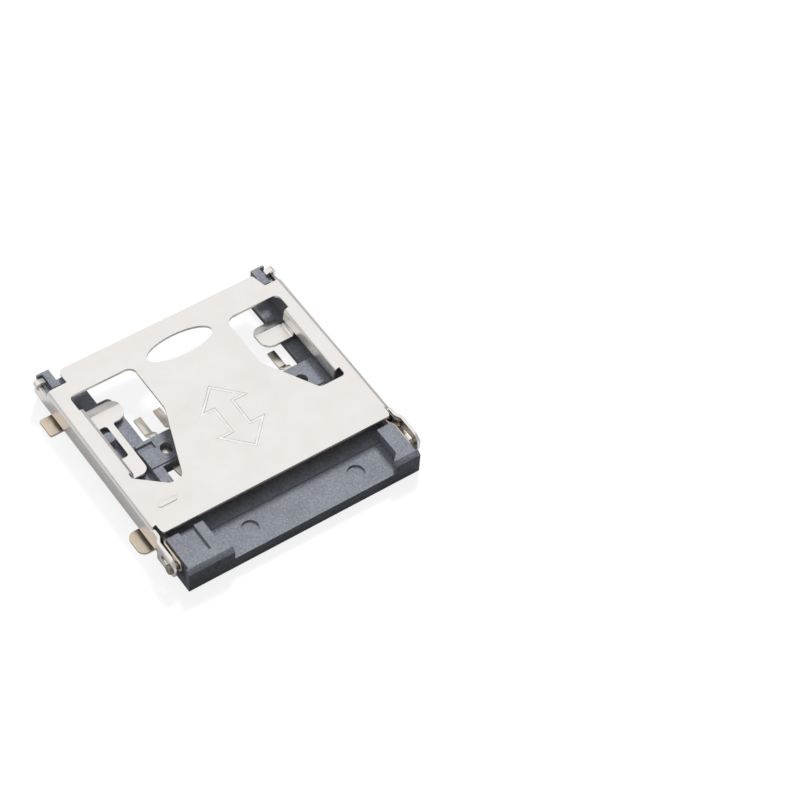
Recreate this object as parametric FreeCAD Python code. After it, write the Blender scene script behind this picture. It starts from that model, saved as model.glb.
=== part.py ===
import FreeCAD, Part
import math
import os
from FreeCAD import Vector

# Flip-cover socket for a small memory card, soldered to a circuit board.
# Origin: centre of the socket on the board surface. +Y runs from the hinge end to the
# free end where the card enters, +Z points away from the board. All sizes are millimetres.

# Moulded housing
housing_width = 13.0
housing_length = 13.74
standoff = 0.08             # air between the board and the moulding
bed_top = 0.82              # top of the hinge bar and of the cross bar
arm_floor_top = 0.38        # thin floor below the card rails
side_wall = 0.40
side_wall_top = 1.28
block_top = 1.52            # end blocks beside the hinge and posts at the free end

# Openings in the moulding, seen from above. Depths run along Y, widths from the nearer side.
hinge_bar_depth = 2.14
left_bed_width = 2.53       # beside the contact window
right_bed_width = 1.30
window_depth = 4.19         # between the hinge bar and the cross bar
cross_bar_depth = 1.72
hole_row_setback = 0.81     # from the near edge of the cross bar to the row of access holes
left_arm_width = 2.69       # beside the solder tails
left_arm_tip_width = 2.00   # the left arm is narrower near its tip
left_arm_tip_length = 2.27
right_arm_width = 1.35
arm_inner_corner = 0.25
arm_tip_corner = 0.15
left_channel_width = 2.00   # low floor of the left rail channel
channel_lead = 0.37         # room left in the channel before the slid rail

# Shallow recess round the contact window, and the ledge that shields the contact tips
recess_depth = 0.06
recess_near_margin = 0.15   # towards the hinge
recess_far_margin = 0.12
recess_right_margin = 0.20
ledge_reach = 0.90
ledge_thickness = 0.11

# End blocks at the hinge
left_block_width = 2.15
right_block_width = 1.00
block_overhang = 0.10       # the blocks run on past the hinge bar
block_flare = 0.38
block_flare_setback = 0.62
block_flare_corner = 0.25
block_side_recess = 0.14    # room for the bracket arm beside each block
front_foot = 0.27           # full-width strip at the very front
block_chamfer_run = 0.24
block_chamfer_drop = 0.20
pocket_width = 0.82
pocket_length = 1.55
pocket_depth = 0.16
pocket_margin = 0.50

# Posts at the free end
left_post_width = 0.68
right_post_width = 0.72
post_depth = 1.10
ledge_of_post = 0.35
tab_notch_width = 0.27
tab_notch_top = 1.26        # floor of the notch that takes the latch tab
tab_notch_end = 0.12        # plastic left between the notch and the end face

# Detent nose that passes through the loop of the left rail
nose_gap = 0.17             # between the nose and the rail's arm
nose_setback = 0.67         # from the rail's tongue to the nose
nose_length = 0.58          # along Y
nose_width = 0.49
nose_corner = 0.20
nose_top = 1.20

# Small moulding details
ejector_radius = 0.44
ejector_depth = 0.11
ejector_setback = 1.10
ejector_left_x = -2.43
ejector_right_x = 3.55
gate_mark_inset = 1.45
gate_mark_radius = 0.50
gate_mark_line = 0.07
gate_mark_centre = 0.14
side_notch_depth = 0.24
side_notch_length = 0.62
side_notch_setback = 0.12   # from the cross bar's far edge to the middle of the notch
side_notch_top = 0.92
corner_recess_width = 0.85
corner_recess_depth = 0.12
corner_recess_length = 0.45
corner_recess_margin = 0.18  # from the cross bar's far edge
gate_notch_inset = 1.55
gate_notch_width = 0.26
gate_notch_depth = 0.06
gate_notch_bottom = 0.90

# L-shaped cored slots in the underside, at both ends of the hinge bar
core_slot = 0.20            # width of the long stroke
core_slot_depth = 0.50
core_slot_setback = 0.95    # how far the slots reach back into the hinge bar
core_slot_overrun = 0.15    # and on past its edge
left_slot_gap = 1.08        # from the contact window to the slot
left_slot_length = 0.95
left_slot_foot = 0.36       # width of the short stroke
right_slot_gap = 0.02
right_slot_length = 0.58
right_slot_foot = 0.32

# Contacts
contact_count = 8
contact_pitch = 1.10
contact_row_x = 0.60        # middle of the row
contact_thickness = 0.12
tail_width = 0.39
tail_reach = 1.79           # from the cross bar's far edge to the end of the solder tail
tail_bend_reach = 0.70
tail_top_reach = 0.34
contact_height = 0.45       # middle of the strip inside the cross bar
root_width = 0.55
root_length = 0.95
taper_length = 0.40
beam_width = 0.36
tip_width = 0.29
apex_gap = 0.99             # from the hinge bar's edge to the highest point
apex_height = 1.34          # middle of the strip at its highest point
tip_gap = 0.63
tip_height = 1.08
bend_radius_contact = 0.10
access_hole_radius = 0.33

# Folded sheet cover
sheet = 0.15
cover_top = 1.83
wall_air = 0.07             # between the moulding and the cover's side walls
cover_bend_radius = 0.15    # inside radius of the long folds
cover_wall_bottom = 0.50
plate_overlap = 0.18        # the plate starts this far past the hinge bar
plate_setback = 0.52        # from the plate's free edge to the moulding's end
cover_corner = 0.35
fold_post_gap = 0.27        # the folds stop this far before the posts
fold_lead = 0.85            # the folds start this far past the hinge bar, behind the ears
wall_end_gap = 0.05         # between the walls' ends and the ends of the posts' notches
wall_tip_top = 1.42         # top edge of the walls beyond the folds
left_notch_gap = 0.22       # between the plate's corner notches and the posts
right_notch_gap = 0.26
right_notch_slant = 0.20
right_notch_lead = 0.10
notch_corner = 0.32
edge_relief_left = -1.60
edge_relief_right = 1.50
edge_relief_depth = 0.06
finger_hole_x = 0.22
finger_hole_setback = 1.73  # from the plate's free edge
finger_hole_long = 1.83
finger_hole_short = 0.68
pill_inset = 1.45
pill_offset = 0.345         # past the middle of the metal between the plate's edge and the window
pill_length = 1.05
pill_width = 0.30
pill_height = 0.05
press_depth = 0.10          # sheet that the pressed pill is drawn from

# Card rails folded down from the windows' outer edges
card_gap = 0.95             # between the rails and the cover
rail_slant = 0.05           # how far each rail leg leans inwards
rail_leg_bottom = 1.08
rail_bend_radius = 0.12
rail_leg_lead = 0.33        # the legs start this far before the left rail's end bar
tongue_setback = 2.06       # from the plate's free edge to the tongues' ends
tongue_overhang = 0.55      # the tongues reach this far past their legs
left_tongue_length = 1.32
right_tongue_length = 1.47
left_tongue_reach = 2.25    # from the window's outer edge
right_tongue_reach = 1.91
tongue_ramp = 0.48          # length of the ramp that leads the card in
tongue_ramp_drop = 0.12
tongue_lead_corner = 0.50
tongue_inner_corner = 0.60
rail_arm_reach = 1.37       # from the window's outer edge to the inner edge of the rail's arm
rail_arm_width = 0.36
rail_arm_length = 2.07      # between the end bar and the tongue
rail_bar_length = 1.28
rail_bar_corner = 0.40
rail_loop_corner = 0.15

# Windows in the cover
window_edge_inset = 0.75    # from the outside of the cover's wall
left_bridge = 2.45          # from the middle of the cover to each window
right_bridge = 2.90
left_window_setback = 1.68  # from the plate's free edge
right_window_setback = 1.63
left_window_straight = 3.00  # length of the inner edge before it slants
right_window_straight = 3.15
left_window_near = 1.49     # the windows run on this far past the rails' legs
right_window_near = 0.52
left_window_step = 0.31
left_window_foot = 1.37     # from the outer edge to the near edge
left_window_heel = 2.09
right_window_heel = 1.44

# Hinge ears and pins
pin_setback = 0.99          # from the moulding's hinge end
pin_z = 1.03
pin_radius = 0.18
pin_clearance = 0.03
pin_head_radius = 0.25
pin_head_thickness = 0.15
pin_head_dome = 0.06
slide_travel = 0.60
ear_offset = 0.18           # the ear stands out from the wall by this much
ear_step_lead = 0.28        # the step starts this far past the hinge bar
ear_step_length = 0.30
ear_nose = 0.40             # from the pin to the front of the ear
ear_nose_corner = 0.36
ear_top = 1.75
ear_top_corner = 0.60
ear_gap = 0.01              # between the ear and the pin head

# Latch tabs at the free ends of the walls
tab_setback = 0.62
tab_curl_radius = 0.20
tab_curl_out = 0.08
tab_reach = 0.38
tab_tip_drop = 0.12

# Solder brackets
bracket_thickness = 0.14
foot_reach = 0.80           # the feet stand out from the moulding's sides
foot_inset = 0.30           # the legs stand this far inside them
hinge_foot_lead = 0.73      # past the hinge bar
hinge_foot_length = 1.40
latch_foot_setback = 2.62   # from the moulding's free end
latch_foot_length = 1.12
hinge_leg_top = 1.20
latch_leg_top = 1.05
foot_corner = 0.40
latch_foot_corner = 0.12
arm_shift = 0.17            # sideways step from the leg to the bracket arm
arm_step_lead = 0.31
arm_step_length = 0.28
arm_height = 0.64
arm_bottom = 0.71
foot_pocket_depth = 0.15
foot_pocket_width = 0.58
foot_pocket_margin = 0.45

# Worked-out places of the moulding
half_width = housing_width / 2
front_y = -housing_length / 2
free_y = housing_length / 2
bar_end_y = front_y + hinge_bar_depth
cross_start_y = bar_end_y + window_depth
cross_end_y = cross_start_y + cross_bar_depth
hole_row_y = cross_start_y + hole_row_setback
inner_wall_x = half_width - side_wall
window_left = -half_width + left_bed_width
window_right = half_width - right_bed_width
bay_left = -half_width + left_arm_width
bay_right = half_width - right_arm_width
bay_step_left = -half_width + left_arm_tip_width
bay_step_y = free_y - left_arm_tip_length
left_channel_edge = -half_width + left_channel_width
left_block_inner = -half_width + left_block_width
right_block_inner = half_width - right_block_width
block_flare_y = front_y + block_flare_setback
block_back_y = bar_end_y + block_overhang
ejector_y = front_y + ejector_setback
gate_mark_x = -half_width + gate_mark_inset
gate_notch_x = -half_width + gate_notch_inset
side_notch_y = cross_end_y + side_notch_setback

# Worked-out places of the contacts and brackets
tail_end_y = cross_end_y + tail_reach
tail_bend_y = cross_end_y + tail_bend_reach
tail_top_y = cross_end_y + tail_top_reach
apex_y = bar_end_y + apex_gap
tip_y = bar_end_y + tip_gap
pin_y = front_y + pin_setback
foot_outer_x = half_width + foot_reach
foot_inner_x = half_width - foot_inset
hinge_foot_y = bar_end_y + hinge_foot_lead
latch_foot_y = free_y - latch_foot_setback
arm_step_y = bar_end_y + arm_step_lead
foot_pocket_inner = half_width - foot_pocket_width

# Worked-out places of the cover
cover_half_width = half_width + wall_air + sheet
cover_front_y = bar_end_y + plate_overlap
cover_free_y = free_y - plate_setback
side_strip_end_y = free_y - post_depth - fold_post_gap
fold_start_y = bar_end_y + fold_lead
wall_end_y = free_y - tab_notch_end - wall_end_gap
left_notch_x = -half_width + left_post_width + left_notch_gap
right_notch_x = half_width - right_post_width - right_notch_gap
ear_step_start_y = bar_end_y + ear_step_lead
tab_start_y = free_y - tab_setback
finger_hole_y = cover_free_y - finger_hole_setback
plate_bottom = cover_top - sheet
rail_top = plate_bottom - card_gap
wall_middle_x = cover_half_width - sheet / 2
slot_radius = pin_radius + pin_clearance
window_edge_x = cover_half_width - window_edge_inset
tongue_end_y = cover_free_y - tongue_setback
rail_leg_top_end = tongue_end_y - tongue_overhang
left_tongue_start_y = tongue_end_y - left_tongue_length
right_tongue_start_y = tongue_end_y - right_tongue_length
rail_bar_start_y = left_tongue_start_y - rail_arm_length - rail_bar_length
rail_leg_top_start = rail_bar_start_y - rail_leg_lead
left_tongue_tip = -window_edge_x + left_tongue_reach
right_tongue_tip = window_edge_x - right_tongue_reach
rail_arm_inner = -window_edge_x + rail_arm_reach
channel_start_y = rail_bar_start_y - slide_travel - channel_lead
nose_x = rail_arm_inner - rail_arm_width - nose_gap
nose_end_y = left_tongue_start_y - nose_setback
left_window_near_y = rail_leg_top_start - left_window_near
right_window_near_y = rail_leg_top_start - right_window_near
pill_x = -cover_half_width + pill_inset
pill_y = (cover_front_y + left_window_near_y) / 2 + pill_offset
cut_margin = 1.0            # how far cutting tools reach past the surface
arc_slack = 0.001           # keeps a half-round end from closing to a point


def to_plane(plane, offset, a, b):
    if plane == "xy":
        return Vector(a, b, offset)
    if plane == "xz":
        return Vector(a, offset, b)
    return Vector(offset, a, b)


def plane_normal(plane):
    return {"xy": Vector(0, 0, 1), "xz": Vector(0, 1, 0), "yz": Vector(1, 0, 0)}[plane]


def prism(corners, plane, start, end):
    """Extrude a closed outline of (a, b) or (a, b, corner radius) from start to end."""
    count = len(corners)
    edges = []
    entries = []
    for i, corner in enumerate(corners):
        point = Vector(corner[0], corner[1], 0)
        radius = corner[2] if len(corner) > 2 else 0
        before = Vector(*corners[i - 1][:2], 0) - point
        after = Vector(*corners[(i + 1) % count][:2], 0) - point
        if radius <= 0:
            entries.append((point, None, point))
            continue
        half_turn = before.getAngle(after) / 2
        reach = radius / math.tan(half_turn)
        first = point + before.normalize() * reach
        last = point + after.normalize() * reach
        middle_direction = (before + after).normalize()
        centre = point + middle_direction * (radius / math.sin(half_turn))
        entries.append((first, centre - middle_direction * radius, last))
    for i, (first, middle, last) in enumerate(entries):
        following = entries[(i + 1) % count][0]
        if middle is not None:
            arc = [to_plane(plane, start, p.x, p.y) for p in (first, middle, last)]
            edges.append(Part.Arc(*arc).toShape())
        if (following - last).Length > 1e-7:
            line = [to_plane(plane, start, p.x, p.y) for p in (last, following)]
            edges.append(Part.LineSegment(*line).toShape())
    face = Part.Face(Part.Wire(edges))
    return face.extrude(plane_normal(plane) * (end - start))


def strip(path, thickness, bend_radius, plane, start, end):
    """Extrude a bent sheet whose middle line is the path, with rounded bends."""
    half = thickness / 2
    directions = []
    for (a0, b0), (a1, b1) in zip(path, path[1:]):
        length = math.hypot(a1 - a0, b1 - b0)
        directions.append(((a1 - a0) / length, (b1 - b0) / length))
    left, right = [], []
    for i, (a, b) in enumerate(path):
        first = directions[max(i - 1, 0)]
        second = directions[min(i, len(directions) - 1)]
        turn = first[0] * second[1] - first[1] * second[0]
        along = 1 + first[0] * second[0] + first[1] * second[1]
        shift_a = -(first[1] + second[1]) / along * half
        shift_b = (first[0] + second[0]) / along * half
        is_bend = 0 < i < len(path) - 1
        left_radius = bend_radius + (0 if turn > 0 else thickness)
        right_radius = bend_radius + (thickness if turn > 0 else 0)
        left.append((a + shift_a, b + shift_b, left_radius if is_bend else 0))
        right.append((a - shift_a, b - shift_b, right_radius if is_bend else 0))
    return prism(left + right[::-1], plane, start, end)


def box(x0, x1, y0, y1, z0, z1):
    return Part.makeBox(x1 - x0, y1 - y0, z1 - z0, Vector(x0, y0, z0))


def rod(x, y, z0, z1, radius):
    return Part.makeCylinder(radius, z1 - z0, Vector(x, y, z0))


def mirrored(shape):
    return shape.mirror(Vector(0, 0, 0), Vector(1, 0, 0))


def joined(shapes):
    return shapes[0].fuse(shapes[1:]).removeSplitter()


# Metal pieces

def contact_middle(index):
    return contact_row_x + (index - (contact_count - 1) / 2) * contact_pitch


def contact(index):
    """One spring contact: solder tail, root in the cross bar, beam and curled tip."""
    x = contact_middle(index)
    foot_height = contact_thickness / 2
    side = [(tail_end_y, foot_height), (tail_bend_y, foot_height), (tail_top_y, contact_height),
            (cross_start_y, contact_height)]
    beam = [(cross_start_y + bend_radius_contact, contact_height), (cross_start_y, contact_height),
            (apex_y, apex_height), (tip_y, tip_height)]
    path = side[:-1] + beam[1:]
    body = strip(path, contact_thickness, bend_radius_contact, "yz",
                 x - root_width, x + root_width)
    root_end = cross_start_y - root_length
    taper_end = root_end - taper_length
    widths = [(tail_end_y + cut_margin, tail_width), (cross_start_y, tail_width),
              (cross_start_y, root_width), (root_end, root_width), (taper_end, beam_width),
              (apex_y, tip_width), (tip_y - cut_margin, tip_width)]
    outline = [(x - width / 2, y) for y, width in widths]
    outline += [(x + width / 2, y) for y, width in reversed(widths)]
    return body.common(prism(outline, "xy", -cut_margin, cover_top))


def solder_foot(foot_y, length, leg_top, corner):
    """Flat foot with two rounded outer corners and a leg that rises into the moulding."""
    middle = bracket_thickness / 2
    leg_x = foot_inner_x + middle
    profile = strip([(foot_outer_x, middle), (leg_x, middle), (leg_x, leg_top)],
                    bracket_thickness, bracket_thickness / 2, "xz", foot_y, foot_y + length)
    outline = [(foot_inner_x - cut_margin, foot_y), (foot_outer_x, foot_y, corner),
               (foot_outer_x, foot_y + length, corner), (foot_inner_x - cut_margin, foot_y + length)]
    return profile.common(prism(outline, "xy", -cut_margin, leg_top + cut_margin))


def hinge_bracket():
    """Right-hand hinge bracket: solder foot, leg and the arm that carries the pin."""
    foot = solder_foot(hinge_foot_y, hinge_foot_length, hinge_leg_top, foot_corner)
    leg_x = foot_inner_x + bracket_thickness / 2
    arm_end = pin_y - arm_height / 2
    path = [(leg_x, hinge_foot_y + bracket_thickness), (leg_x, arm_step_y),
            (leg_x + arm_shift, arm_step_y - arm_step_length), (leg_x + arm_shift, arm_end)]
    arm_top = arm_bottom + arm_height
    arm = strip(path, bracket_thickness, bracket_thickness, "xy", arm_bottom, arm_top)
    round_end = arm_height / 2 - arc_slack
    side = [(hinge_foot_y + cut_margin, arm_bottom), (arm_end, arm_bottom, round_end),
            (arm_end, arm_top, round_end), (arm_step_y, arm_top),
            (hinge_foot_y + cut_margin, hinge_leg_top)]
    arm = arm.common(prism(side, "yz", 0, foot_outer_x))
    pin_hole = Part.makeCylinder(pin_radius + pin_clearance, foot_outer_x,
                                 Vector(0, pin_y, pin_z), Vector(1, 0, 0))
    return joined([foot, arm]).cut(pin_hole)


def latch_bracket():
    return solder_foot(latch_foot_y, latch_foot_length, latch_leg_top, latch_foot_corner)


def hinge_pin():
    """Right-hand pin: a stub in the bracket arm with a domed head outside the ear."""
    start = foot_inner_x + arm_shift
    head_start = cover_half_width + ear_offset + ear_gap
    axis = Vector(1, 0, 0)
    stub = Part.makeCylinder(pin_radius, head_start - start, Vector(start, pin_y, pin_z), axis)
    head = Part.makeCylinder(pin_head_radius, pin_head_thickness,
                             Vector(head_start, pin_y, pin_z), axis)
    outer_edges = [edge for edge in head.Edges
                   if edge.BoundBox.XMin > head_start + pin_head_thickness / 2]
    head = head.makeFillet(pin_head_dome, outer_edges[:1])
    return joined([stub, head])


# Cover

def cover_channel():
    """Top plate and both side walls as one folded channel."""
    middle_top = cover_top - sheet / 2
    path = [(-wall_middle_x, cover_wall_bottom), (-wall_middle_x, middle_top),
            (wall_middle_x, middle_top), (wall_middle_x, cover_wall_bottom)]
    return strip(path, sheet, cover_bend_radius, "xz", ear_step_start_y, wall_end_y)


def plate_outline():
    """Plan of the flat top, with the corner notches that clear the posts."""
    flat = cover_half_width - sheet - cover_bend_radius
    wide = cover_half_width + cut_margin
    return [(-flat, cover_front_y, cover_corner),
            (edge_relief_left - edge_relief_depth, cover_front_y),
            (edge_relief_left, cover_front_y + edge_relief_depth),
            (edge_relief_right, cover_front_y + edge_relief_depth),
            (edge_relief_right + edge_relief_depth, cover_front_y),
            (flat, cover_front_y, cover_corner), (flat, fold_start_y), (wide, fold_start_y),
            (wide, side_strip_end_y),
            (right_notch_x + right_notch_slant, side_strip_end_y, right_notch_lead),
            (right_notch_x, cover_free_y, notch_corner / 2),
            (left_notch_x, cover_free_y, notch_corner),
            (left_notch_x, side_strip_end_y), (-wide, side_strip_end_y), (-wide, fold_start_y),
            (-flat, fold_start_y)]


def wall_room():
    """Room kept for the walls alone: below the folds, and lower still past their ends."""
    outline = [(ear_step_start_y - cut_margin, cover_wall_bottom - cut_margin),
               (wall_end_y, cover_wall_bottom - cut_margin), (wall_end_y, wall_tip_top),
               (side_strip_end_y + sheet, wall_tip_top), (side_strip_end_y, plate_bottom - sheet),
               (fold_start_y, plate_bottom - sheet), (fold_start_y, ear_top - sheet),
               (ear_step_start_y - cut_margin, ear_top - sheet)]
    return prism(outline, "yz", -cover_half_width, cover_half_width)


def long_hole(first, last, middle, radius):
    """Outline with two half-round ends, centred on first and last."""
    corner = radius - arc_slack
    return [(first - radius, middle - radius, corner), (last + radius, middle - radius, corner),
            (last + radius, middle + radius, corner), (first - radius, middle + radius, corner)]


def ear():
    """Right-hand hinge ear, stepped outwards over the bracket arm, with the pin's slot."""
    outer_x = wall_middle_x + ear_offset
    step_end_y = ear_step_start_y - ear_step_length
    nose_y_front = pin_y - ear_nose
    path = [(wall_middle_x, fold_start_y - sheet), (wall_middle_x, ear_step_start_y),
            (outer_x, step_end_y), (outer_x, nose_y_front)]
    side_strip = strip(path, sheet, sheet, "xy", cover_wall_bottom, ear_top)
    nose_bottom = pin_z - ear_nose
    side = [(fold_start_y, cover_wall_bottom), (pin_y + slide_travel, cover_wall_bottom),
            (pin_y, nose_bottom), (nose_y_front, nose_bottom, ear_nose_corner),
            (nose_y_front, ear_top, ear_top_corner), (fold_start_y, ear_top)]
    solid = side_strip.common(prism(side, "yz", 0, foot_outer_x))
    slot = long_hole(pin_y, pin_y + slide_travel, pin_z, slot_radius)
    return solid.cut(prism(slot, "yz", 0, foot_outer_x))


def latch_tab():
    """Right-hand tab that curls outwards at the wall's end and lies over the post's notch."""
    centre_x = wall_middle_x + tab_curl_out
    low_z = wall_tip_top - sheet
    mid_z = low_z + tab_curl_radius
    top_z = mid_z + tab_curl_radius / 2
    path = [(wall_middle_x, low_z - sheet), (centre_x + tab_curl_out, mid_z - sheet / 2),
            (centre_x, top_z), (cover_half_width - tab_reach, top_z - tab_tip_drop)]
    return strip(path, sheet, sheet / 3, "xz", tab_start_y, wall_end_y - sheet)


def rail_leg(side, start_y, end_y, low_end):
    """Stretch of a rail's leg, folded down from the window's edge; low_end is its last point."""
    half = sheet / 2
    leg_x = (window_edge_x - rail_bend_radius - half) * side
    plate_z = plate_bottom + half
    path = [((window_edge_x + cover_bend_radius) * side, plate_z), (leg_x, plate_z)]
    return strip(path + low_end, sheet, rail_bend_radius, "xz", start_y, end_y)


def rail(side):
    """Card rail hung from a window's outer edge; side is -1 for left, +1 for right."""
    half = sheet / 2
    foot_z = rail_top - half
    foot_x = (window_edge_x - rail_bend_radius - half - rail_slant) * side
    root_x = foot_x - (rail_bend_radius + half) * side
    flat = [(foot_x, foot_z), (root_x - sheet * side, foot_z)]
    shapes = [rail_leg(side, rail_leg_top_start, rail_leg_top_end, [(foot_x, rail_leg_bottom)])]
    if side < 0:
        start_y = left_tongue_start_y
        shapes.append(rail_leg(side, rail_bar_start_y, rail_bar_start_y + rail_bar_length, flat))
        plan = left_flange_plan(root_x)
    else:
        start_y = right_tongue_start_y
        plan = [(root_x, start_y), (right_tongue_tip, start_y, tongue_inner_corner),
                (right_tongue_tip, tongue_end_y, tongue_lead_corner), (root_x, tongue_end_y)]
    shapes.append(rail_leg(side, start_y, rail_leg_top_end, flat))
    first_y = min(corner[1] for corner in plan)
    low, high = min(corner[0] for corner in plan), max(corner[0] for corner in plan)
    ramp_start = tongue_end_y - tongue_ramp
    bent = strip([(first_y, foot_z), (ramp_start, foot_z), (tongue_end_y, foot_z - tongue_ramp_drop)],
                 sheet, sheet, "yz", low, high)
    return shapes + [bent.common(prism(plan, "xy", 0, cover_top))]


def left_flange_plan(root_x):
    """Plan of the left rail's flange: tongue, arm and end bar, looped round the detent nose."""
    bar_end = rail_bar_start_y + rail_bar_length
    loop_edge = rail_arm_inner - rail_arm_width
    return [(root_x, rail_bar_start_y), (rail_arm_inner, rail_bar_start_y, rail_bar_corner),
            (rail_arm_inner, left_tongue_start_y, rail_loop_corner),
            (left_tongue_tip, left_tongue_start_y, tongue_inner_corner),
            (left_tongue_tip, tongue_end_y, tongue_lead_corner), (root_x, tongue_end_y),
            (root_x, left_tongue_start_y), (loop_edge, left_tongue_start_y, rail_loop_corner),
            (loop_edge, bar_end, rail_loop_corner), (root_x, bar_end)]


def pill():
    """Raised pill on the top plate, pressed up from below."""
    half_length = (pill_length - pill_width) / 2
    outline = long_hole(pill_x - half_length, pill_x + half_length, pill_y, pill_width / 2)
    return prism(outline, "xy", cover_top - press_depth, cover_top + pill_height)


def left_window():
    far_y = cover_free_y - left_window_setback
    return [(-window_edge_x, far_y, 0.25), (-left_bridge, far_y, 0.40),
            (-left_bridge, far_y - left_window_straight, 0.90),
            (-window_edge_x + left_window_heel, left_window_near_y, 0.35),
            (-window_edge_x + left_window_foot, left_window_near_y, 0.35),
            (-window_edge_x, rail_leg_top_start - left_window_step, 0.20)]


def right_window():
    far_y = cover_free_y - right_window_setback
    return [(right_bridge, far_y, 0.50), (window_edge_x, far_y, 0.35),
            (window_edge_x, right_window_near_y, 0.20),
            (window_edge_x - right_window_heel, right_window_near_y, 0.35),
            (right_bridge, far_y - right_window_straight, 0.50)]


def cover():
    """The whole cover, cut and folded from one sheet."""
    channel = cover_channel()
    plan = prism(plate_outline(), "xy", 0, cover_top + cut_margin)
    top = channel.common(plan)
    walls = channel.common(wall_room())
    shapes = [top, walls]
    for make in (ear, latch_tab):
        piece = make()
        shapes += [piece, mirrored(piece)]
    solid = joined(shapes)
    tools = [prism(window, "xy", plate_bottom - sheet / 2, cover_top + cut_margin)
             for window in (left_window(), right_window())]
    ellipse = Part.Ellipse(Vector(finger_hole_x, finger_hole_y, 0), finger_hole_long, finger_hole_short)
    hole = Part.Face(Part.Wire(ellipse.toShape())).extrude(Vector(0, 0, cover_top + cut_margin))
    solid = solid.cut(tools + [hole])
    return joined([solid, pill()] + rail(-1) + rail(1))


# Housing

def base_plan():
    """Flat outline of the moulding: hinge bar, both arms and the open bay."""
    return [(-half_width, front_y), (half_width, front_y), (half_width, free_y),
            (bay_right, free_y), (bay_right, cross_end_y), (bay_left, cross_end_y),
            (bay_left, bay_step_y, arm_inner_corner), (bay_step_left, bay_step_y),
            (bay_step_left, free_y, arm_tip_corner), (-half_width, free_y)]


def base_with_channels():
    """Floor of the moulding at its two levels, with the contact window cut through."""
    low = prism(base_plan(), "xy", standoff, arm_floor_top)
    high_plan = [(-half_width, front_y), (half_width, front_y), (half_width, cross_end_y),
                 (left_channel_edge, cross_end_y), (left_channel_edge, channel_start_y),
                 (-half_width, channel_start_y)]
    high = prism(high_plan, "xy", standoff, bed_top)
    window = box(window_left, window_right, bar_end_y, cross_start_y, 0, cover_top)
    recess_floor = bed_top - recess_depth
    recess = box(left_channel_edge, window_right + recess_right_margin,
                 bar_end_y - recess_near_margin, cross_start_y + recess_far_margin,
                 recess_floor, cover_top)
    ledge = box(window_left, window_right, bar_end_y, bar_end_y + ledge_reach,
                recess_floor - ledge_thickness, recess_floor)
    return joined([joined([low, high]).cut([window, recess]), ledge])


def side_walls():
    walls = []
    for x0, x1 in ((-half_width, -inner_wall_x), (inner_wall_x, half_width)):
        walls.append(box(x0, x1, bar_end_y, free_y - post_depth, standoff, side_wall_top))
    return walls


def end_block(inner_x, side):
    """Raised block beside the hinge; its inner edge flares towards the front."""
    outer = half_width * side
    flared = inner_x - block_flare * side
    outline = [(outer, front_y), (flared, front_y),
               (flared, block_flare_y - block_flare, block_flare_corner / 2),
               (inner_x, block_flare_y, block_flare_corner), (inner_x, block_back_y),
               (outer, block_back_y)]
    solid = prism(outline, "xy", standoff, block_top)
    chamfer = [(front_y - cut_margin, block_top - block_chamfer_drop),
               (front_y, block_top - block_chamfer_drop), (front_y + block_chamfer_run, block_top),
               (front_y + block_chamfer_run, block_top + cut_margin),
               (front_y - cut_margin, block_top + cut_margin)]
    return solid.cut(prism(chamfer, "yz", -half_width - cut_margin, half_width + cut_margin))


def arm_recess(side):
    """Space beside an end block for the bracket arm."""
    inner, outer = half_width - block_side_recess, half_width + cut_margin
    low, high = sorted((inner * side, outer * side))
    return box(low, high, front_y + front_foot, hinge_foot_y, arm_bottom - sheet, cover_top)


def posts():
    """Corner posts at the free end, each notched for the cover's latch tab."""
    start = free_y - post_depth
    left = box(-half_width, -half_width + left_post_width, start, free_y, standoff, block_top)
    left_ledge = box(-half_width, -half_width + left_post_width + ledge_of_post, start,
                     start + ledge_of_post, standoff, block_top)
    right = box(half_width - right_post_width, half_width, start, free_y, standoff, block_top)
    notches = []
    for x0, x1 in ((-half_width, -half_width + tab_notch_width),
                   (half_width - tab_notch_width, half_width)):
        notches.append(box(x0, x1, start - cut_margin, free_y - tab_notch_end,
                           tab_notch_top, cover_top))
    return [shape.cut(notches) for shape in (left.fuse(left_ledge), right)]


def detent_nose():
    """Rounded nose on the left arm, inside the loop of the left rail."""
    x0, x1 = nose_x - nose_width, nose_x
    y0, y1 = nose_end_y - nose_length, nose_end_y
    outline = [(x0, y0), (x1, y0, nose_corner), (x1, y1, nose_corner), (x0, y1)]
    return prism(outline, "xy", standoff, nose_top)


def marks_and_pockets():
    """Ejector marks, gate ring, block pocket and the other shallow recesses."""
    tools = []
    for x in (ejector_left_x, ejector_right_x):
        tools.append(rod(x, ejector_y, bed_top - ejector_depth, block_top, ejector_radius))
    gate = rod(gate_mark_x, hole_row_y, 0, standoff + ejector_depth, gate_mark_radius)
    gate = gate.cut(rod(gate_mark_x, hole_row_y, 0, cover_top, gate_mark_radius - gate_mark_line))
    tools += [gate, rod(gate_mark_x, hole_row_y, 0, standoff + ejector_depth, gate_mark_centre)]
    pocket_x = left_block_inner - pocket_margin - pocket_width
    tools.append(box(pocket_x, pocket_x + pocket_width, block_back_y - pocket_length,
                     block_back_y + cut_margin, block_top - pocket_depth, cover_top))
    for x0, x1 in ((-half_width, -half_width + side_notch_depth),
                   (half_width - side_notch_depth, half_width)):
        tools.append(box(x0, x1, side_notch_y - side_notch_length / 2,
                         side_notch_y + side_notch_length / 2, 0, side_notch_top))
    recess_far_y = cross_end_y - corner_recess_margin
    tools.append(box(left_channel_edge, left_channel_edge + corner_recess_width,
                     recess_far_y - corner_recess_length, recess_far_y,
                     bed_top - corner_recess_depth, cover_top))
    tools.append(box(gate_notch_x - gate_notch_width / 2, gate_notch_x + gate_notch_width / 2,
                     front_y - cut_margin, front_y + gate_notch_depth,
                     gate_notch_bottom, block_top - block_chamfer_drop))
    return tools


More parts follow.
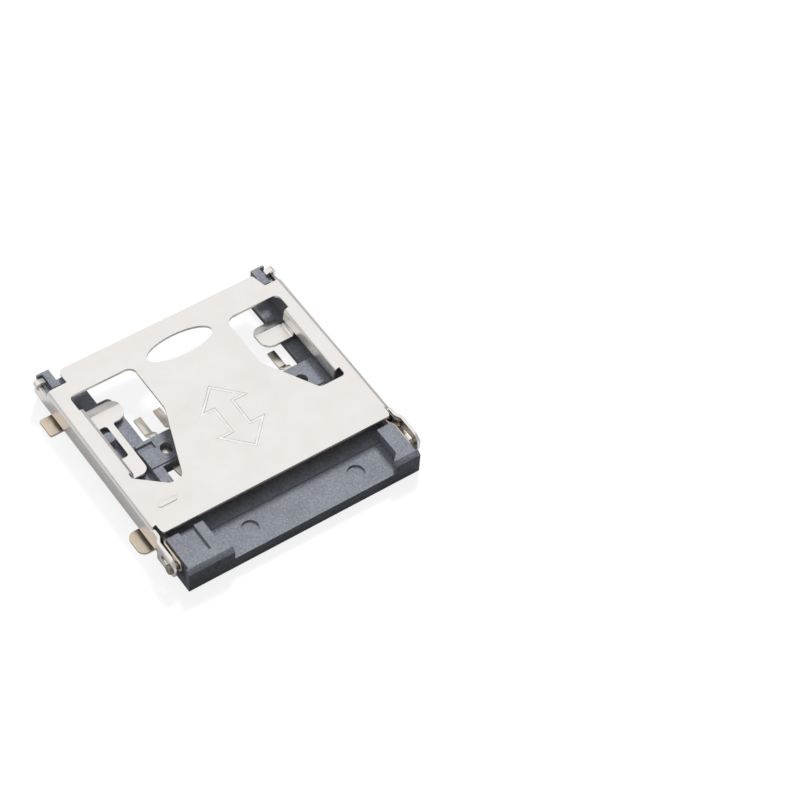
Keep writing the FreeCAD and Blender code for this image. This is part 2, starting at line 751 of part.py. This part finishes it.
def core_slots():
    """L-shaped cored slots in the underside, at both ends of the hinge bar."""
    tools = []
    top = standoff + core_slot_depth
    start = bar_end_y - core_slot_setback
    end = bar_end_y + core_slot_overrun
    left_end, right_start = window_left - left_slot_gap, window_right + right_slot_gap
    for x0, x1, foot in ((left_end - left_slot_length, left_end, left_slot_foot),
                         (right_start, right_start + right_slot_length, right_slot_foot)):
        tools.append(box(x0, x1, start, start + foot, 0, top))
        tools.append(box(x1 - core_slot, x1, start, end, 0, top))
    return tools


def foot_pockets():
    """Shallow recesses in the underside round the solder feet."""
    tools = []
    top = standoff + foot_pocket_depth
    for foot_y, length in ((hinge_foot_y, hinge_foot_length), (latch_foot_y, latch_foot_length)):
        y0, y1 = foot_y - foot_pocket_margin, foot_y + length + foot_pocket_margin
        tools.append(box(-half_width, -foot_pocket_inner, y0, y1, 0, top))
        tools.append(box(foot_pocket_inner, half_width, y0, y1, 0, top))
    return tools


def housing(metal):
    """The moulding, shaped round the metal pieces that it holds."""
    solid = joined([base_with_channels()] + side_walls() + posts()
                   + [end_block(left_block_inner, -1), end_block(right_block_inner, 1),
                      detent_nose()])
    tools = marks_and_pockets() + core_slots() + foot_pockets() + [arm_recess(-1), arm_recess(1)]
    for index in range(contact_count):
        tools.append(rod(contact_middle(index), hole_row_y, 0, cover_top, access_hole_radius))
    return solid.cut(tools).cut(metal).removeSplitter()


def build():
    nodes = {}
    for index in range(contact_count):
        nodes["contact_%d" % (index + 1)] = contact(index)
    for name, piece in (("hinge_bracket", hinge_bracket()), ("latch_bracket", latch_bracket())):
        nodes[name + "_right"] = piece
        nodes[name + "_left"] = mirrored(piece)
    nodes["housing"] = housing(list(nodes.values()))
    nodes["cover"] = cover()
    nodes["hinge_pin_right"] = hinge_pin()
    nodes["hinge_pin_left"] = mirrored(hinge_pin())
    return nodes


os.makedirs("parts", exist_ok=True)
for node_name, node_shape in build().items():
    node_shape.exportStep("parts/%s.step" % node_name)
    print(node_name, len(node_shape.Solids), "solid", round(node_shape.Volume, 4), "mm3",
          "valid" if node_shape.isValid() else "not valid")
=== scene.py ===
import math
import bmesh
import bpy
from mathutils import Matrix, Vector


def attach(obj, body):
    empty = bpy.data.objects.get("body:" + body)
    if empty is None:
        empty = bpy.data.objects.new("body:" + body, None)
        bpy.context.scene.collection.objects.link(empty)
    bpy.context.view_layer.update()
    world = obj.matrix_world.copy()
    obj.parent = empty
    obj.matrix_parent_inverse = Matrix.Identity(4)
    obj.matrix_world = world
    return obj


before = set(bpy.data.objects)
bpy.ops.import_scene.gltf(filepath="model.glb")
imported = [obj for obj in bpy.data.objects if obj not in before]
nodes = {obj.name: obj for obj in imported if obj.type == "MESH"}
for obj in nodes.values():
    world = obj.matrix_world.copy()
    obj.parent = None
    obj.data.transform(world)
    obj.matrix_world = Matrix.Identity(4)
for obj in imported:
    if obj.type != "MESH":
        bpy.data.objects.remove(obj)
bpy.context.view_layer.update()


# The housing is one injection moulding in glass-filled slate plastic. The mould leaves a fine
# matt grain, lighter flecks of filler near the skin and a small radius on every edge. Lengths are
# in millimetres and angles in degrees.
slate_dark = (0.180, 0.192, 0.226)
slate_middle = (0.254, 0.268, 0.306)
slate_fleck = (0.360, 0.376, 0.416)
cloud_shade = 0.86
plain_roughness = 0.60
fleck_roughness = 0.46
slate_specular = 0.17
pore_depth = 0.008
housing_edge = 0.018
facet_gap = 0.003
flat_within = 0.6


def soften_edges(name, radius_mm, smallest_angle):
    """Joins the facets of a piece into clean faces and gives its edges their real radius."""
    piece = nodes[name]
    weld = piece.modifiers.new("join facets", "WELD")
    weld.merge_threshold = facet_gap / 1000
    flat = piece.modifiers.new("clean faces", "DECIMATE")
    flat.decimate_type = "DISSOLVE"
    flat.angle_limit = math.radians(flat_within)
    edge = piece.modifiers.new("edge radius", "BEVEL")
    edge.width = radius_mm / 1000
    edge.segments = 2
    edge.limit_method = "ANGLE"
    edge.angle_limit = math.radians(smallest_angle)
    edge.use_clamp_overlap = True
    even = piece.modifiers.new("even shading", "WEIGHTED_NORMAL")
    even.keep_sharp = False
    even.weight = 80


def dress(name, material):
    """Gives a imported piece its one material."""
    nodes[name].data.materials.clear()
    nodes[name].data.materials.append(material)


def new_material(name):
    """An empty material with its Principled BSDF joined to the output."""
    material = bpy.data.materials.new(name)
    material.use_nodes = True
    tree = material.node_tree
    tree.nodes.clear()
    output = tree.nodes.new("ShaderNodeOutputMaterial")
    shader = tree.nodes.new("ShaderNodeBsdfPrincipled")
    tree.links.new(shader.outputs["BSDF"], output.inputs["Surface"])
    return material, tree, shader


def feed(tree, socket, value):
    """Gives a socket a number or a colour, or links another socket to it."""
    if isinstance(value, (int, float)):
        socket.default_value = value
    elif isinstance(value, tuple):
        socket.default_value = (*value, 1)
    else:
        tree.links.new(value, socket)


def millimetres(tree, stretch=(1, 1, 1)):
    """Object position in millimetres, stretched along the grain."""
    place = tree.nodes.new("ShaderNodeTexCoord")
    scale = tree.nodes.new("ShaderNodeMapping")
    scale.inputs["Scale"].default_value = [1000 * s for s in stretch]
    tree.links.new(place.outputs["Object"], scale.inputs["Vector"])
    return scale.outputs["Vector"]


def noise(tree, position, per_mm, detail, roughness):
    """A cloudy field between 0 and 1, with this many clouds to the millimetre."""
    field = tree.nodes.new("ShaderNodeTexNoise")
    feed(tree, field.inputs["Scale"], per_mm)
    field.inputs["Detail"].default_value = detail
    field.inputs["Roughness"].default_value = roughness
    tree.links.new(position, field.inputs["Vector"])
    return field.outputs["Fac"]


def ramp(tree, value, stops):
    """Colour ramp from (place, colour) pairs; a single number makes a grey."""
    band = tree.nodes.new("ShaderNodeValToRGB")
    elements = band.color_ramp.elements
    while len(elements) < len(stops):
        elements.new(0.5)
    for element, (place, colour) in zip(elements, stops):
        element.position = place
        element.color = (*colour, 1) if isinstance(colour, tuple) else (colour, colour, colour, 1)
    tree.links.new(value, band.inputs["Fac"])
    return band.outputs["Color"]


def mixed(tree, amount, first, second, blend="MIX"):
    """Mix of two colours, given as sockets or as plain values."""
    node = tree.nodes.new("ShaderNodeMix")
    node.data_type = "RGBA"
    node.blend_type = blend
    for socket, value in zip((node.inputs[0], node.inputs[6], node.inputs[7]),
                             (amount, first, second)):
        feed(tree, socket, value)
    return node.outputs[2]


def bump(tree, shader, height, depth_mm, strength):
    """Fine relief of the surface, too small to be modelled."""
    relief = tree.nodes.new("ShaderNodeBump")
    relief.inputs["Strength"].default_value = strength
    relief.inputs["Distance"].default_value = depth_mm / 1000
    tree.links.new(height, relief.inputs["Height"])
    tree.links.new(relief.outputs["Normal"], shader.inputs["Normal"])


slate, tree, shader = new_material("slate_moulding")
position = millimetres(tree)
flecks = noise(tree, position, per_mm=8.5, detail=6, roughness=0.8)
clouds = noise(tree, position, per_mm=0.9, detail=3, roughness=0.5)
pores = noise(tree, position, per_mm=22.0, detail=4, roughness=0.6)
skin = ramp(tree, flecks, [(0.36, slate_dark), (0.50, slate_middle), (0.64, slate_fleck)])
tone = ramp(tree, clouds, [(0.35, cloud_shade), (0.65, 1.0)])
shine = ramp(tree, flecks, [(0.3, plain_roughness), (0.7, fleck_roughness)])
tree.links.new(mixed(tree, 1.0, skin, tone, "MULTIPLY"), shader.inputs["Base Color"])
tree.links.new(shine, shader.inputs["Roughness"])
shader.inputs["Specular IOR Level"].default_value = slate_specular
bump(tree, shader, pores, pore_depth, strength=0.8)
dress("housing", slate)
soften_edges("housing", housing_edge, smallest_angle=38)


# A fine moulded lip runs along the near edge of the shallow recess, from block to block, where
# the mould's insert for the contact window meets the hinge bar. Sizes are in millimetres.
lip_ends = (-4.40, 5.54)
lip_sides = (-4.91, -4.85)
lip_heights = (0.75, 0.88)
lip_radius = 0.015


def new_piece(name, shape):
    """Turns a finished bmesh into a piece of the scene."""
    data = bpy.data.meshes.new(name)
    shape.to_mesh(data)
    shape.free()
    piece = bpy.data.objects.new(name, data)
    bpy.context.collection.objects.link(piece)
    return piece


def moulded_bar(name, ends, sides, heights, radius_mm):
    """A thin straight moulding with rounded edges, from its six limits in millimetres."""
    plan = ((ends[0], sides[0]), (ends[1], sides[0]), (ends[1], sides[1]), (ends[0], sides[1]))
    faces = ((3, 2, 1, 0), (4, 5, 6, 7), (0, 1, 5, 4), (1, 2, 6, 5), (2, 3, 7, 6), (3, 0, 4, 7))
    shape = bmesh.new()
    corners = [shape.verts.new((x / 1000, y / 1000, z / 1000)) for z in heights for x, y in plan]
    for face in faces:
        shape.faces.new([corners[i] for i in face])
    bmesh.ops.bevel(shape, geom=shape.edges[:], offset=radius_mm / 1000, segments=2,
                    affect="EDGES", profile=0.5)
    for face in shape.faces:
        face.smooth = True
    return new_piece(name, shape)


recess_lip = moulded_bar("recess_lip", lip_ends, lip_sides, lip_heights, lip_radius)
recess_lip.data.materials.append(slate)
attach(recess_lip, "base")


# The cover is blanked and folded from one thin stainless sheet with a satin rolled finish. Its
# folds are smooth and its cut edges are left as the punch leaves them.
sheet_shade = (0.820, 0.790, 0.765)
sheet_light = (0.872, 0.842, 0.818)
cover_edge = 0.014
drawn_along_y = (1.0, 0.06, 1.0)
sheet_edge_angle = 50


def calculated(tree, operation, *values):
    """One Math node, fed with sockets or plain numbers."""
    node = tree.nodes.new("ShaderNodeMath")
    node.operation = operation
    for socket, value in zip(node.inputs, values):
        feed(tree, socket, value)
    return node.outputs["Value"]


def grain_group():
    """Rolling grain of sheet metal: fine lines along Y, with cloudy changes of shine."""
    group = bpy.data.node_groups.new("rolled_grain", "ShaderNodeTree")
    for name, start in (("Lines per mm", 20.0), ("Shine", 0.3), ("Shine change", 0.08)):
        socket = group.interface.new_socket(name, in_out="INPUT", socket_type="NodeSocketFloat")
        socket.default_value = start
    for name in ("Height", "Roughness", "Clouds"):
        group.interface.new_socket(name, in_out="OUTPUT", socket_type="NodeSocketFloat")
    given = group.nodes.new("NodeGroupInput").outputs
    result = group.nodes.new("NodeGroupOutput").inputs
    lines = noise(group, millimetres(group, drawn_along_y), given["Lines per mm"],
                  detail=4, roughness=0.5)
    clouds = noise(group, millimetres(group), per_mm=0.55, detail=3, roughness=0.6)
    shine = calculated(group, "MULTIPLY_ADD", clouds, given["Shine change"], given["Shine"])
    group.links.new(lines, result["Height"])
    group.links.new(shine, result["Roughness"])
    group.links.new(clouds, result["Clouds"])
    return group


rolled_grain = grain_group()


def new_metal(name, lines_per_mm, shine, change, depth_mm):
    """A metal with the rolled grain in it; gives the grain's clouds back as a mask."""
    material, tree, shader = new_material(name)
    shader.inputs["Metallic"].default_value = 1.0
    node = tree.nodes.new("ShaderNodeGroup")
    node.node_tree = rolled_grain
    node.inputs["Lines per mm"].default_value = lines_per_mm
    node.inputs["Shine"].default_value = shine
    node.inputs["Shine change"].default_value = change
    tree.links.new(node.outputs["Roughness"], shader.inputs["Roughness"])
    bump(tree, shader, node.outputs["Height"], depth_mm, strength=0.6)
    return material, tree, shader, node.outputs["Clouds"]


satin, tree, shader, clouds = new_metal("satin_sheet", lines_per_mm=9.0, shine=0.21, change=0.10,
                                        depth_mm=0.0007)
colour = ramp(tree, clouds, [(0.3, sheet_shade), (0.7, sheet_light)])
tree.links.new(colour, shader.inputs["Base Color"])
dress("cover", satin)
soften_edges("cover", cover_edge, sheet_edge_angle)


# A double-headed arrow is pressed up in the cover's plate, along the way the cover slides. The
# punch leaves it as a fine raised bead. Its colour is painted brighter than the sheet around it,
# a painted highlight along the bead. Each bead step is a distance in from the outline and a
# height over the plate, in millimetres.
arrow_tip = 1.72
arrow_foot = -2.62
head_half_width = 1.42
shaft_half_width = 0.60
upper_head_root = 0.27
lower_head_root = -1.14
right_half = [(head_half_width, lower_head_root), (shaft_half_width, lower_head_root),
              (shaft_half_width, upper_head_root), (head_half_width, upper_head_root)]
left_half = [(-x, y) for x, y in reversed(right_half)]
arrow_outline = [(0.0, arrow_foot), *right_half, (0.0, arrow_tip), *left_half]
plate_top = 1.83
bead_steps = ((0.0, -0.003), (0.05, 0.006), (0.09, 0.009), (0.13, 0.006), (0.18, -0.003))
# Both bead colours are brighter than the sheet's: a painted highlight, mottled at random.
bead_highlight_dim = (0.850, 0.820, 0.796)
bead_highlight_bright = (0.935, 0.917, 0.897)


def drawn_in(outline, inward):
    """The same outline, drawn in by a distance; its points run against the clock."""
    moved = []
    for i, here in enumerate(outline):
        before = Vector(here) - Vector(outline[i - 1])
        after = Vector(outline[(i + 1) % len(outline)]) - Vector(here)
        first = Vector((-before.y, before.x)).normalized()
        second = Vector((-after.y, after.x)).normalized()
        moved.append(Vector(here) + (first + second) * inward / (1 + first.dot(second)))
    return moved


def pressed_bead(name, outline, steps):
    """A closed bead along an outline: rings drawn in step by step, and a flat underside."""
    shape = bmesh.new()
    rings = [[shape.verts.new((x / 1000, y / 1000, (plate_top + lift) / 1000))
              for x, y in drawn_in(outline, inward)] for inward, lift in steps]
    for lower, upper in zip(rings, rings[1:] + rings[:1]):
        for i in range(len(outline)):
            j = (i + 1) % len(outline)
            side = shape.faces.new((lower[i], lower[j], upper[j], upper[i]))
            side.smooth = upper is not rings[0]
    return new_piece(name, shape)


# The bead's metal carries the painted highlight in its base colour.
bead_highlight_metal, tree, shader, _ = new_metal("bead_painted_highlight", lines_per_mm=9.0, shine=0.18, change=0.08,
                                    depth_mm=0.0005)
highlight_mottle = noise(tree, millimetres(tree), per_mm=2.4, detail=3, roughness=0.6)
colour = ramp(tree, highlight_mottle, [(0.38, bead_highlight_dim), (0.62, bead_highlight_bright)])
tree.links.new(colour, shader.inputs["Base Color"])
pressed_arrow = pressed_bead("pressed_arrow", arrow_outline, bead_steps)
pressed_arrow.data.materials.append(bead_highlight_metal)
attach(pressed_arrow, "lid")


# The eight spring contacts are stamped from thin copper alloy and pressed into the cross bar.
# They are nickel plated, with gold at the curled tips and on the flat solder tails, and brown
# where the strip is sheared off. The limits are heights and places along Y, in millimetres.
contact_gold = ((0.93, 0.70, 0.30), (0.98, 0.80, 0.44))
contact_nickel = ((0.66, 0.62, 0.55), (0.78, 0.75, 0.69))
sheared_brown = (0.17, 0.12, 0.07)
tail_heights = (0.05, 0.01)
tip_limits = (-2.7, -3.4)
sheared_limits = (-3.88, -4.04)
contact_edge = 0.01


def places(tree):
    """X, Y and Z of the surface in millimetres."""
    split = tree.nodes.new("ShaderNodeSeparateXYZ")
    tree.links.new(millimetres(tree), split.inputs["Vector"])
    return split.outputs


def band_mask(tree, value, limits):
    """0 up to the first limit, 1 from the second on, smooth between."""
    node = tree.nodes.new("ShaderNodeMapRange")
    node.interpolation_type = "SMOOTHSTEP"
    node.inputs["From Min"].default_value, node.inputs["From Max"].default_value = limits
    tree.links.new(value, node.inputs["Value"])
    return node.outputs["Result"]


plated, tree, shader, clouds = new_metal("contact_plating", lines_per_mm=30.0, shine=0.20,
                                         change=0.12, depth_mm=0.001)
place = places(tree)
tail = band_mask(tree, place["Z"], tail_heights)
tip = band_mask(tree, place["Y"], tip_limits)
sheared_end = band_mask(tree, place["Y"], sheared_limits)
nickel = mixed(tree, clouds, *contact_nickel)
gold = mixed(tree, clouds, *contact_gold)
strip_colour = mixed(tree, calculated(tree, "MAXIMUM", tail, tip), nickel, gold)
tree.links.new(mixed(tree, sheared_end, strip_colour, sheared_brown), shader.inputs["Base Color"])
for number in range(1, 9):
    dress("contact_%d" % number, plated)
    soften_edges("contact_%d" % number, contact_edge, sheet_edge_angle)


# The four solder brackets are folded from sheet and pressed into the housing. They are plated
# pale champagne above and bright gold on the faces that are soldered down.
bracket_champagne = ((0.64, 0.55, 0.44), (0.77, 0.68, 0.55))
bracket_gold = ((0.93, 0.70, 0.31), (0.98, 0.80, 0.45))
soldered_heights = (0.004, 0.016)
bracket_edge = 0.016
bracket, tree, shader, clouds = new_metal("bracket_plating", lines_per_mm=26.0, shine=0.24,
                                          change=0.12, depth_mm=0.0015)
upper = band_mask(tree, places(tree)["Z"], soldered_heights)
champagne = mixed(tree, clouds, *bracket_champagne)
solder_gold = mixed(tree, clouds, *bracket_gold)
tree.links.new(mixed(tree, upper, solder_gold, champagne), shader.inputs["Base Color"])
for side in ("left", "right"):
    for name in ("hinge_bracket_" + side, "latch_bracket_" + side):
        dress(name, bracket)
        soften_edges(name, bracket_edge, sheet_edge_angle)


# Each hinge pin is a turned steel rivet with a domed head. It holds an ear of the cover to the
# arm of a hinge bracket. Its colour is duller and browner than the cover, and darkened further
# with painted shade for the dark surroundings its head mirrors.
pin_tone_and_painted_shade = ((0.24, 0.21, 0.175), (0.38, 0.34, 0.285))
rivet, tree, shader, clouds = new_metal("turned_pin", lines_per_mm=40.0, shine=0.30, change=0.15,
                                        depth_mm=0.002)
tree.links.new(mixed(tree, clouds, *pin_tone_and_painted_shade), shader.inputs["Base Color"])
for side in ("left", "right"):
    dress("hinge_pin_" + side, rivet)


# Plain pale floor, a little below the solder feet. The camera sees it nearly white, with the
# socket's soft shadow, metal mirrors it light grey, and it throws little light back. Its sizes
# are in metres.
floor_reach = 1.2
floor_height = -0.00001
floor_seen = (0.20, 0.20, 0.20)
floor_mirrored = (0.50, 0.50, 0.50)
floor_for_light = (0.12, 0.12, 0.12)
white_seen = 0.84
white_mirrored = 0.20
corners = [(x * floor_reach, y * floor_reach, 0) for x, y in ((-1, -1), (1, -1), (1, 1), (-1, 1))]
floor_mesh = bpy.data.meshes.new("floor")
floor_mesh.from_pydata(corners, [], [(0, 1, 2, 3)])
floor = bpy.data.objects.new("floor", floor_mesh)
floor.location.z = floor_height
bpy.context.collection.objects.link(floor)
paper, tree, shader = new_material("pale_floor")
shader.inputs["Roughness"].default_value = 0.9
shader.inputs["Specular IOR Level"].default_value = 0.0
shader.inputs["Emission Color"].default_value = (1, 1, 1, 1)
ray = tree.nodes.new("ShaderNodeLightPath").outputs
unmirrored = mixed(tree, ray["Is Camera Ray"], floor_for_light, floor_seen)
tree.links.new(mixed(tree, ray["Is Glossy Ray"], unmirrored, floor_mirrored),
               shader.inputs["Base Color"])
mirrored_white = calculated(tree, "MULTIPLY", ray["Is Glossy Ray"], white_mirrored)
own_white = calculated(tree, "MULTIPLY_ADD", ray["Is Camera Ray"], white_seen, mirrored_white)
tree.links.new(own_white, shader.inputs["Emission Strength"])
floor_mesh.materials.append(paper)


# Plain soft studio light: a sky that is bright overhead, behind the socket and at the left, and
# falls off towards the horizon, and one small softbox high at the back on the right. Metal
# mirrors a sky that is nowhere dark, and the camera sees plain white. Sizes are in metres.
brighter_behind = 0.42
brighter_left = -0.30
sky_steps = [(0.0, 0.02), (0.30, 0.08), (0.62, 0.42), (0.85, 1.0), (1.0, 1.04)]
least_mirrored = (0.46, 0.46, 0.47)
share_for_light = (0.60, 0.60, 0.61)
lamp_toward = Vector((0.44, 0.50, 0.80)).normalized()
lamp_distance = 0.35
lamp_width = 0.075
lamp_radiance = 64.0
world = bpy.data.worlds.new("studio")
bpy.context.scene.world = world
world.use_nodes = True
tree = world.node_tree
tree.nodes.clear()
output = tree.nodes.new("ShaderNodeOutputWorld")
sky = tree.nodes.new("ShaderNodeBackground")
plain = tree.nodes.new("ShaderNodeBackground")
plain.inputs["Color"].default_value = (1, 1, 1, 1)
either = tree.nodes.new("ShaderNodeMixShader")
ray = tree.nodes.new("ShaderNodeLightPath").outputs
direction = tree.nodes.new("ShaderNodeTexCoord")
split = tree.nodes.new("ShaderNodeSeparateXYZ")
tree.links.new(direction.outputs["Generated"], split.inputs["Vector"])
toward = split.outputs
height = calculated(tree, "MULTIPLY_ADD", toward["Y"], brighter_behind, toward["Z"])
leftward = calculated(tree, "MULTIPLY", toward["X"], brighter_left)
leftward.node.use_clamp = True
glow = ramp(tree, calculated(tree, "ADD", height, leftward), sky_steps)
mirrored_glow = mixed(tree, 1.0, glow, least_mirrored, "LIGHTEN")
soft_glow = mixed(tree, 1.0, glow, share_for_light, "MULTIPLY")
tree.links.new(mixed(tree, ray["Is Glossy Ray"], soft_glow, mirrored_glow), sky.inputs["Color"])
tree.links.new(ray["Is Camera Ray"], either.inputs["Fac"])
tree.links.new(sky.outputs["Background"], either.inputs[1])
tree.links.new(plain.outputs["Background"], either.inputs[2])
tree.links.new(either.outputs["Shader"], output.inputs["Surface"])
lamp = bpy.data.lights.new("key_softbox", "AREA")
lamp.shape = "SQUARE"
lamp.size = lamp_width
lamp.energy = lamp_radiance * math.pi * lamp_width * lamp_width
softbox = bpy.data.objects.new("key_softbox", lamp)
softbox.location = lamp_toward * lamp_distance
softbox.rotation_euler = lamp_toward.to_track_quat("Z", "Y").to_euler()
softbox.visible_glossy = False
bpy.context.collection.objects.link(softbox)


# The camera stands where the photograph was taken from, rolled a little about its own axis. It
# aims beside the socket, so that the socket keeps its place in the photograph. Lengths are in
# metres, apart from those of the lens.
azimuth = math.radians(38.6)
elevation = math.radians(52.208)
roll = math.radians(-4.942)
aim = Vector((7.7145, -3.4245, 0.98)) / 1000
distance = 0.149468
focal_length = 139.085
sensor_width = 36
nearest_seen = 0.005
farthest_seen = 5
level_right = Vector((math.cos(azimuth), -math.sin(azimuth), 0))
ahead = Vector((math.sin(azimuth) * math.cos(elevation), math.cos(azimuth) * math.cos(elevation),
                -math.sin(elevation)))
level_up = level_right.cross(ahead)
right = level_right * math.cos(roll) - level_up * math.sin(roll)
up = level_right * math.sin(roll) + level_up * math.cos(roll)
turn = Matrix((right, up, -ahead)).transposed()
lens = bpy.data.cameras.new("camera")
lens.lens = focal_length
lens.sensor_width = sensor_width
lens.clip_start = nearest_seen
lens.clip_end = farthest_seen
camera = bpy.data.objects.new("camera", lens)
camera.matrix_world = Matrix.Translation(aim - ahead * distance) @ turn.to_4x4()
bpy.context.collection.objects.link(camera)
bpy.context.scene.camera = camera
bpy.context.scene.view_settings.view_transform = "Standard"
